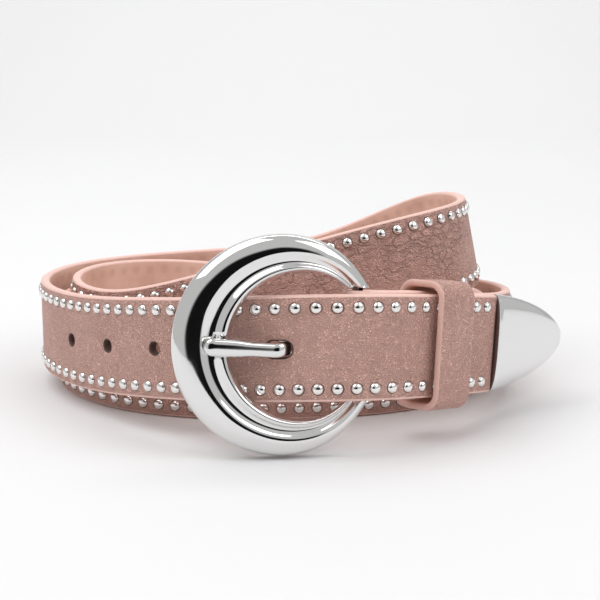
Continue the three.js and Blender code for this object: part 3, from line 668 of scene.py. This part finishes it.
def tongueLine(eyeRadius):
    # Off the eye, along the strap's inner side, out through the hole, then straight to the crescent
    here = frameAt(tongueHoleAt)
    beside = (belt["thickness"] + tongueLook["beside"]) / 2 + belt["gap"]
    reach, width, depth, out = (v[0] for v in crescentAt(np.array([180.0])))
    over = out + buckleLook["front"] * depth + tongueLook["overCrescent"] + belt["gap"]
    onto = width * tongueLook["ontoCrescent"] - reach
    rest = place(buckle, onto, -strapDrop / 2 - tongueLook["drop"], -over)
    root = place(buckle, buckleLook["barReach"] * half - eyeRadius, -strapDrop, 0)
    along, share, more = np.array(tongueLook["through"]).T
    through = place(here, along, 0, share * beside + more)
    ahead = through[-1] + (rest - through[-1]) * np.array([0.25, 0.5, 0.75, 1])[:, None]
    return openCurve(np.vstack([root, through, ahead]), tongueLook["steps"])


def buildTongue():
    # Point = line's middle + cosine x half the height x upright + sine x half the depth x forward, both
    # squared up and closing at the tip as a quarter ellipse. The eye is a ring of oval section.
    eyeRadius = belt["barRadius"] + tongueLook["eyeDeep"] / 2 + belt["gap"]
    centre = tongueLine(eyeRadius)
    way = unit(np.gradient(centre, axis=0))
    deepWay = unit(np.cross(way, buckle[2]))
    highWay = unit(np.cross(way, deepWay))
    share = np.linspace(0, 1, len(centre))
    wider = smooth((share - tongueLook["widens"]) / tongueLook["widening"])
    high = tongueLook["high"] + (tongueLook["endHigh"] - tongueLook["high"]) * wider
    fromTip = np.linalg.norm(centre - centre[-1], axis=1)
    close = np.sqrt(np.clip(1 - (1 - np.clip(fromTip / tongueLook["tip"], 0, 1)) ** 2, 0.02, 1))
    a = circle(tongueLook["sides"])
    up = (high * close / 2)[:, None] * rounded(np.cos(a), tongueLook["square"])
    forward = (tongueLook["deep"] * close / 2)[:, None] * rounded(np.sin(a), tongueLook["square"])
    shank = place([v[:, None] for v in (centre, way, highWay, deepWay)], 0, up, forward)
    t, b = circle(tongueLook["eyeAround"])[:, None], circle(tongueLook["eyeSides"])
    radius = eyeRadius + tongueLook["eyeDeep"] / 2 * np.cos(b)
    eye = place(buckle, buckleLook["barReach"] * half + np.cos(t) * radius,
                tongueLook["eyeHigh"] / 2 * np.sin(b) - strapDrop, np.sin(t) * radius)
    numbers = shank.size // 3 + np.arange(eye.size // 3).reshape(len(t), -1)
    faces = tubeFaces(*shank.shape[:2]) + ladder(np.vstack([numbers, numbers[:1]])).reshape(-1, 4).tolist()
    return addMesh("tongue_bar", np.vstack([shank.reshape(-1, 3), eye.reshape(-1, 3)]), faces, [chrome])


tonguePiece = belongs(buildTongue(), "tongue")
print("stage: tongue")


# Keeper: a leather loop with rounded corners and edges
keeperLook = {
    "width": 14.5, "thick": 2.0, "fromTip": 23.3, "play": 1.8, "corner": 4.2, "cornerSteps": 13,
    "sideSteps": 12, "overStuds": 1.6, "edge": 0.6, "edgeTurns": (25, 55, 90, 125, 155), "faceCells": 8,
    "grainShift": 40.0, "layers": 1.15,  # the second layer's place, in layers
}


def buildKeeper():
    # Point = wall's middle line + outward x half the thickness, over the way round and the section. The
    # middle line is four quarter circles joined by straights.
    f, t, c = frameAt(rimAt - keeperLook["fromTip"]), keeperLook["thick"], keeperLook["corner"]
    low = -(belt["thickness"] / 2 + keeperLook["overStuds"]) - t / 2
    layers = belt["layer"] * keeperLook["layers"] + belt["thickness"] / 2 + belt["skived"]
    high = layers + keeperLook["play"] + t / 2
    tall = belt["width"] / 2 + keeperLook["play"] + t / 2
    centres = np.array([(high - c, tall - c), (low + c, tall - c), (low + c, c - tall), (high - c, c - tall)])
    angle = np.radians(np.array([0, 90, 180, 270])[:, None] + np.linspace(0, 90, keeperLook["cornerSteps"]))
    ways = np.stack([np.cos(angle), np.sin(angle)], -1)
    corners = centres[:, None] + c * ways
    share = (np.arange(1, keeperLook["sideSteps"]) / keeperLook["sideSteps"])[:, None]
    straights = corners[:, -1:] + (np.roll(corners[:, :1], -1, axis=0) - corners[:, -1:]) * share
    line = np.concatenate([corners, straights], axis=1).reshape(-1, 2)
    normals = np.concatenate([ways, np.repeat(ways[:, -1:], len(share), axis=1)], axis=1).reshape(-1, 2)
    e, w, cells = keeperLook["edge"], keeperLook["width"] / 2, keeperLook["faceCells"]
    turns = np.radians(keeperLook["edgeTurns"])
    across = np.linspace(-1, 1, cells + 1) * (w - e)
    section = np.vstack([
        np.column_stack([across, 0 * across + 1]),
        np.column_stack([w - e + e * np.sin(turns), np.cos(turns)]),
        np.column_stack([-across, 0 * across - 1]),
        np.column_stack([e - w - e * np.sin(turns), -np.cos(turns)]),
    ])
    wall = line[:, None] + normals[:, None] * section[:, 1:] * t / 2
    points = place(f, section[:, 0], wall[..., 1], wall[..., 0])
    mark = np.concatenate([[0], np.cumsum(np.linalg.norm(np.diff(line, axis=0), axis=1))])
    uv = np.stack(np.broadcast_arrays(section[:, 0], mark[:, None] - keeperLook["grainShift"]), -1)
    numbers = np.arange(points.size // 3).reshape(len(line), -1)
    column, inner = np.arange(len(section)), cells + 1 + len(turns)
    # Its edges take the darker side colour, painted shade
    skins = np.where(column < cells, 0, np.where((column >= inner) & (column < inner + cells), 1, 2))
    return addMesh("keeper_loop", points, ladder(np.vstack([numbers, numbers[:1]])).reshape(-1, 4).tolist(),
                   [outerSkin, liningSkin, keeperShadedSide], np.tile(skins, len(line)), uv)


keeperPiece = belongs(buildKeeper(), "keeper")
print("stage: keeper")


# Tip cap: a domed metal point with a groove near its root and a pocket for the strap's end
capLook = {
    "length": 42.5, "thick": 5.6, "sides": 64, "steps": 70, "from": 0.35, "rootEnd": 2.6,
    "root": (0.35, 0.5, 0.9, 1.3, 1.6, 1.9, 2.3),  # closer rings over the groove
    "squareTall": 0.62, "squareDeep": 0.8, "squareIn": 0.3, "least": 0.05, "thinsBelow": 3.5, "dentHigh": 0.6,
    "groove": 0.5, "grooveAt": 1.75, "grooveWide": 0.3, "rim": 0.25, "rimAt": 0.3, "rimWide": 0.18,
    "pocketDeep": 1.55, "pocketHigh": (11.2, 14.15), "pocketFrom": 0.4, "darkBands": 4,
}


def buildCap():
    # Point = rim's middle + along + half height x squared sine up + half depth x squared cosine forward.
    # Half height falls as the root of 1 - share^1.5, half depth as 1 - 0.5 share^2, less where it is low.
    rim = frameAt(rimAt)
    begin, length = capLook["from"], capLook["length"] - capLook["from"]
    along = begin + np.sin(np.pi / 2 * np.linspace(0, 1, capLook["steps"])) * length
    along = np.sort(np.concatenate([along[along > capLook["rootEnd"]], capLook["root"]]))
    share = (along - begin) / length
    height = np.maximum(belt["width"] / 2 * (1 - share ** 1.5) ** 0.5, capLook["least"])
    thin = (1 - 0.5 * share ** 2) * np.minimum(1, height / capLook["thinsBelow"]) ** 0.7
    depth = np.maximum(capLook["thick"] / 2 * thin, capLook["least"])
    dent = np.exp(-((along - capLook["grooveAt"]) / capLook["grooveWide"]) ** 2) * capLook["groove"]
    dent = dent + np.exp(-((along - capLook["rimAt"]) / capLook["rimWide"]) ** 2) * capLook["rim"]
    height, depth = height - dent * capLook["dentHigh"], depth - dent
    a = circle(capLook["sides"])
    tall, deep = rounded(np.sin(a), capLook["squareTall"]), rounded(np.cos(a), capLook["squareDeep"])
    shell = place(rim, along[:, None], tall * height[:, None], deep * depth[:, None])
    # The pocket is squarer than the cap and narrows inward
    inside = np.array([[belt["pocket"]], [capLook["pocketFrom"]]])
    tall, deep = rounded(np.sin(a), capLook["squareIn"]), rounded(np.cos(a), capLook["squareIn"])
    pocket = place(rim, inside, tall * np.array(capLook["pocketHigh"])[:, None], deep * capLook["pocketDeep"])
    points = np.vstack([pocket, shell])
    faces = tubeFaces(*points.shape[:2])
    # The pocket, the root's face and the first millimetre are painted shade at the joint between leather and
    # metal
    dark = np.arange(len(faces)) < capLook["darkBands"] * capLook["sides"]
    return addMesh("tip_cap_shell", points, faces, [chrome, paintedShade], dark)


capPiece = belongs(buildCap(), "tip_cap")
print("stage: cap")


def faceOutward(piece):
    # Turns the faces of each closed part outward
    work = bmesh.new()
    work.from_mesh(piece.data)
    bmesh.ops.recalc_face_normals(work, faces=work.faces)
    work.to_mesh(piece.data)
    work.free()


for piece in (strapPiece, bucklePiece, tonguePiece, keeperPiece, capPiece):
    faceOutward(piece)
print("stage: faces turned outward")


# Floor that sweeps up behind, soft studio light and the camera, in metres
studio = {
    "floor": (0.79, 0.79, 0.795), "world": 0.61, "key": 5.8, "fill": 3.1, "wall": 25.0,
    "halfWide": 3.0, "near": -0.62, "far": 1.4, "sweep": 0.9, "top": 3.0,
    "darkWide": 0.23, "darkHigh": 0.1, "darkAt": 0.12,  # the dark opening, as squares of its half sizes
}


def buildFloor():
    # Flat from near to far, then a quarter circle of the sweep's radius, then straight up, over width
    bend = np.radians(np.linspace(6, 90, 16))
    level = np.linspace(studio["near"], studio["far"], 30)
    y = np.concatenate([level, studio["far"] + studio["sweep"] * np.sin(bend)])
    z = np.concatenate([0 * level, studio["sweep"] * (1 - np.cos(bend))])
    y, z = np.append(y, y[-1]), np.append(z, studio["top"])
    x = np.linspace(-studio["halfWide"], studio["halfWide"], 13)
    grid = np.stack(np.broadcast_arrays(x, y[:, None], z[:, None]), -1)
    n = np.arange(grid.size // 3).reshape(len(y), len(x))
    faces = np.stack([n[:-1, :-1], n[:-1, 1:], n[1:, 1:], n[1:, :-1]], -1).reshape(-1, 4)
    mesh = bpy.data.meshes.new("floor")
    mesh.from_pydata(grid.reshape(-1, 3).tolist(), [], faces.tolist())
    mesh.polygons.foreach_set("use_smooth", [True] * len(faces))
    made, g = newMaterial("floor_paper")
    shade = g.noise(g.objectSpot(), 3.0, 2.0) * 0.3
    tone = g.blend(shade, studio["floor"], tuple(0.98 * c for c in studio["floor"]))
    surface(g, {"Base Color": tone, "Roughness": 0.9, "Specular IOR Level": 0.1})
    mesh.materials.append(made)
    floor = bpy.data.objects.new("floor", mesh)
    bpy.context.scene.collection.objects.link(floor)


def addLight(name, spot, target, size, power):
    data = bpy.data.lights.new(name, "AREA")
    data.shape = "RECTANGLE"
    data.size, data.size_y = size
    data.energy = power
    light = bpy.data.objects.new(name, data)
    bpy.context.scene.collection.objects.link(light)
    light.location = spot
    way = np.array(spot) - np.array(target)
    light.rotation_euler = (math.atan2(math.hypot(way[0], way[1]), way[2]), 0, math.atan2(way[0], -way[1]))


def buildWorld():
    world = bpy.data.worlds.new("studio")
    bpy.context.scene.world = world
    world.use_nodes = True
    g = Graph(world.node_tree)
    way = g.node("ShaderNodeTexCoord").outputs["Generated"]
    split = g.node("ShaderNodeSeparateXYZ", {}, {0: way})
    x, y, z = (Signal(g, split.outputs[k]) for k in range(3))
    # A dark opening round the camera, with bright walls beside and above it
    above = z - studio["darkAt"]
    aside = (x * x / studio["darkWide"] + above * above / studio["darkHigh"]) ** 0.5
    bright = aside.ramp(0.85, 1.1)
    bright = bright + (1.0 - bright) * (y > 0.0)
    tone = g.blend(bright, (0.012, 0.012, 0.013), (1.0, 1.0, 1.0))
    sky = g.node("ShaderNodeBackground", {}, {"Color": tone, "Strength": studio["world"]})
    g.node("ShaderNodeOutputWorld", {}, {"Surface": sky.outputs[0]})


buildFloor()
buildWorld()
addLight("key", (-0.5, -0.2, 0.95), (0, 0, 0.02), (0.9, 0.9), studio["key"])
addLight("fill", (0.7, -0.45, 0.7), (0, 0, 0.02), (0.7, 0.7), studio["fill"])
addLight("wall", (0.0, 0.9, 1.9), (0, 2.1, 0.7), (2.6, 0.8), studio["wall"])

# How far the camera stands in front of the coil's front and above the floor, how far it looks down, its lens
view = {"back": 322.4, "up": 107.6, "pitch": 11.0, "lens": 72.0}
lens = bpy.data.cameras.new("camera")
lens.lens = view["lens"]
lens.sensor_width = 36.0
lens.clip_start = 0.01
camera = bpy.data.objects.new("camera", lens)
bpy.context.scene.collection.objects.link(camera)
camera.location = (belt["shift"][0] * mm, (belt["shift"][1] - view["back"]) * mm, view["up"] * mm)
camera.rotation_euler = (math.radians(90 - view["pitch"]), 0, 0)
bpy.context.scene.camera = camera
bpy.context.scene.view_settings.view_transform = "Standard"
print("stage: studio")
